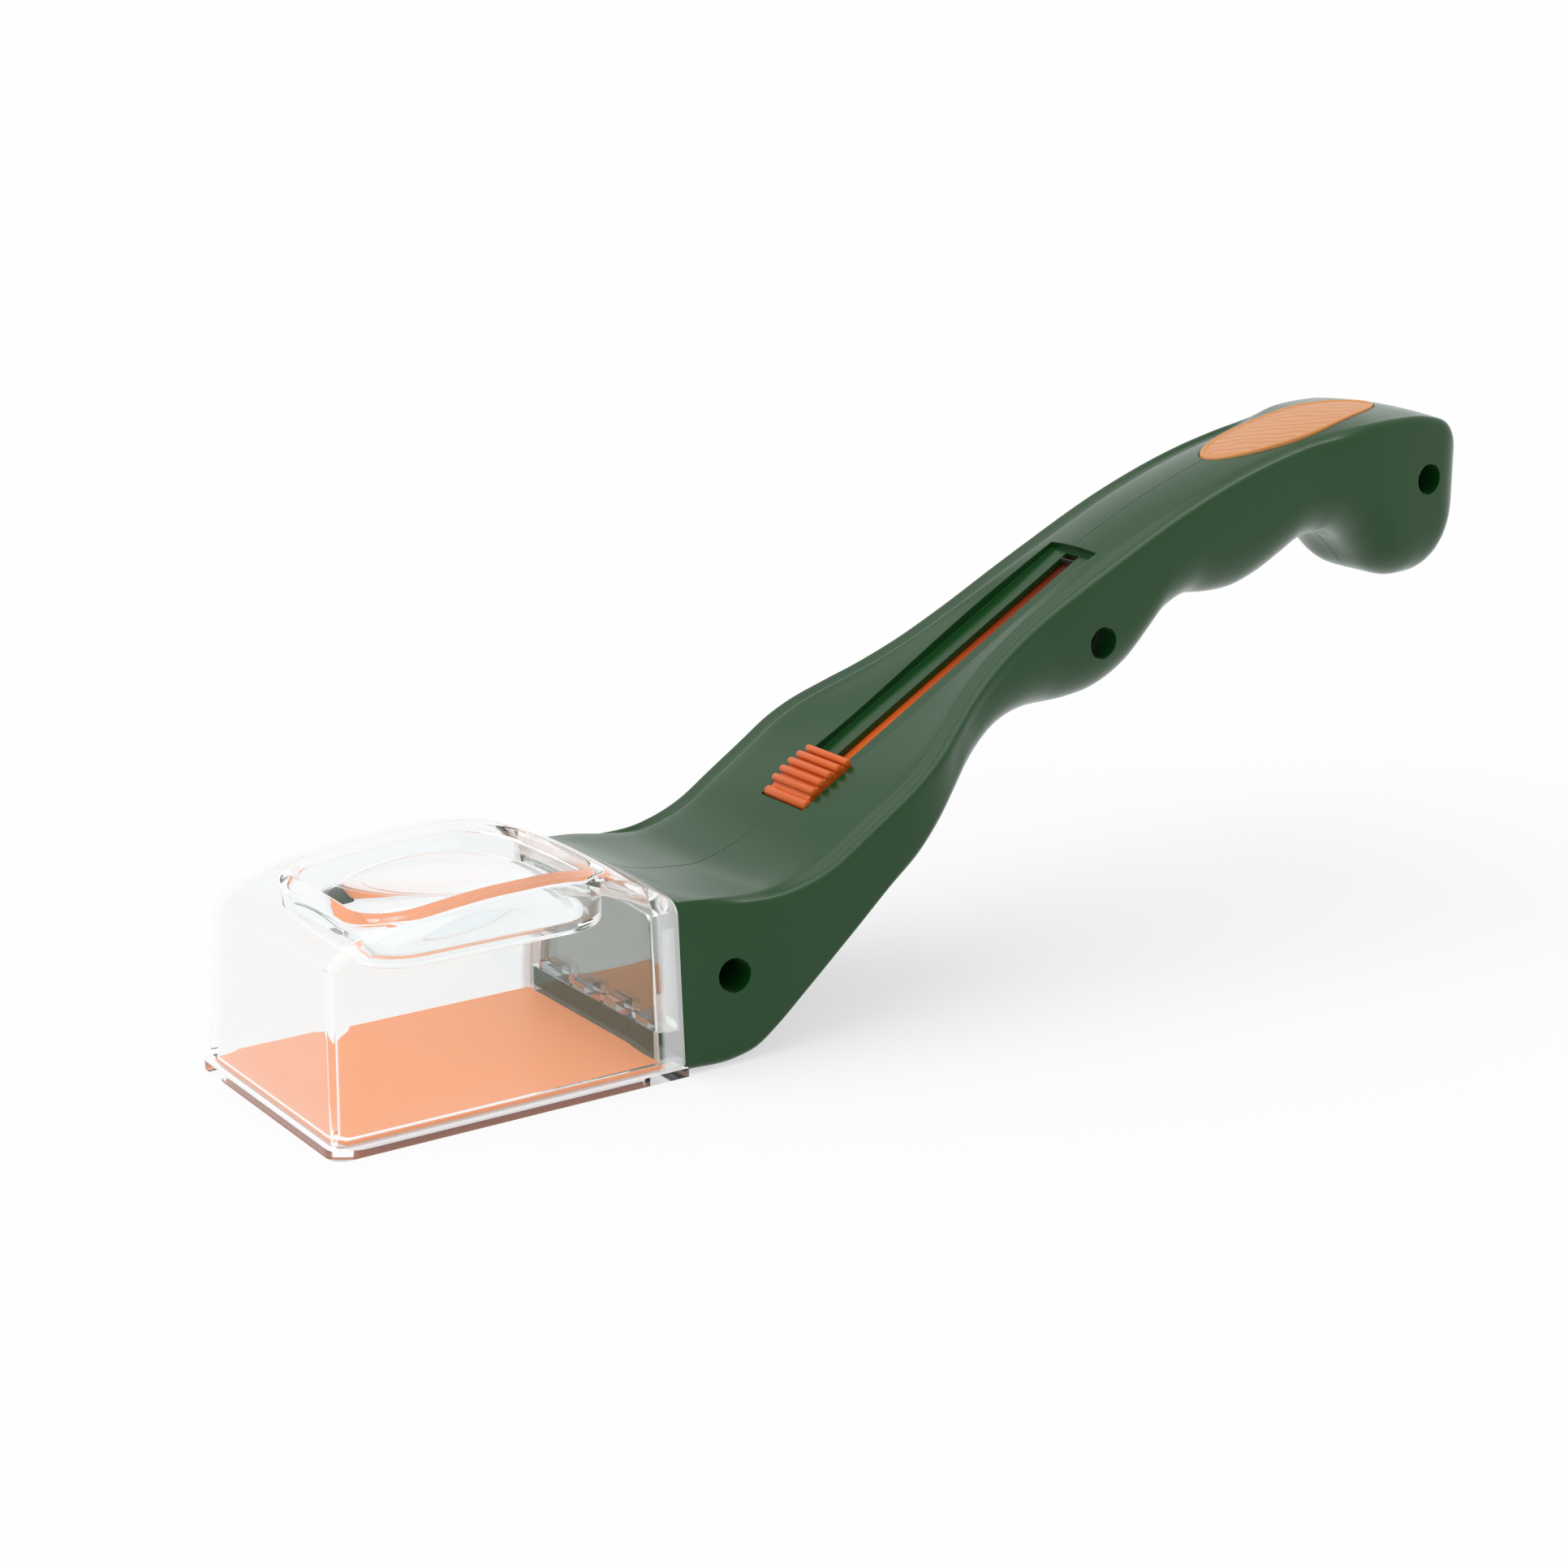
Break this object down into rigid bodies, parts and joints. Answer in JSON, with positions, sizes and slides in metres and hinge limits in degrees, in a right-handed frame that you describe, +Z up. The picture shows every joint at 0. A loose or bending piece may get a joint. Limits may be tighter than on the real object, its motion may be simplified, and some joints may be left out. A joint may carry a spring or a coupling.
{
  "type": "insect catcher",
  "caption": "Hand-held insect catcher with a clear magnifier chamber, an orange shutter moved by a thumb slider and a green hooked handle",
  "frame": {"origin": "middle of the overall box, on the surface the catcher stands on", "axes": "+X from the clear chamber to the end of the handle, +Y to the right of a user looking over the chamber, +Z up"},
  "size_m": [0.292, 0.059, 0.1086],
  "materials": {
    "green_plastic": "moulded, fine satin",
    "clear_plastic": "polished clear moulding",
    "orange_plastic": "moulded, satin",
    "pale_orange_plastic": "moulded, satin",
    "dark_plastic": "moulded, plain",
    "screw_steel": "zinc plated",
    "stop_rubber": "soft, matte"
  },
  "bodies": {
    "root": {"handle_shell_left": "green_plastic", "handle_shell_right": "green_plastic", "chamber": "clear_plastic", "base_frame": "clear_plastic", "rear_panel": "clear_plastic", "magnifier_lens": "clear_plastic", "thumb_rest": "pale_orange_plastic", "lower_guide": "dark_plastic", "upper_guide": "dark_plastic", "band_rest": "dark_plastic", "case_screws": "screw_steel", "front_stop": "stop_rubber", "rear_stop": "stop_rubber", "wear_strips": "dark_plastic", "locating_pins": "screw_steel"},
    "slider": {"thumb_slider": "orange_plastic", "slider_carriage": "orange_plastic", "carriage_screws": "screw_steel", "friction_springs": "screw_steel"},
    "shutter": {"shutter_sheet": "orange_plastic"}
  },
  "joints": [
    {"name": "thumb_slide", "type": "slide", "parent": "root", "child": "slider", "axis": [0.8615, 0, 0.5078], "range_m": [0, 0.072]},
    {"name": "shutter_slide", "type": "slide", "parent": "root", "child": "shutter", "axis": [1, 0, 0], "range_m": [0, 0.072], "deforming": ["shutter_sheet"]}
  ],
  "couplings": [
    {"joint": "shutter_slide", "follows": "thumb_slide", "ratio": 1}
  ]
}
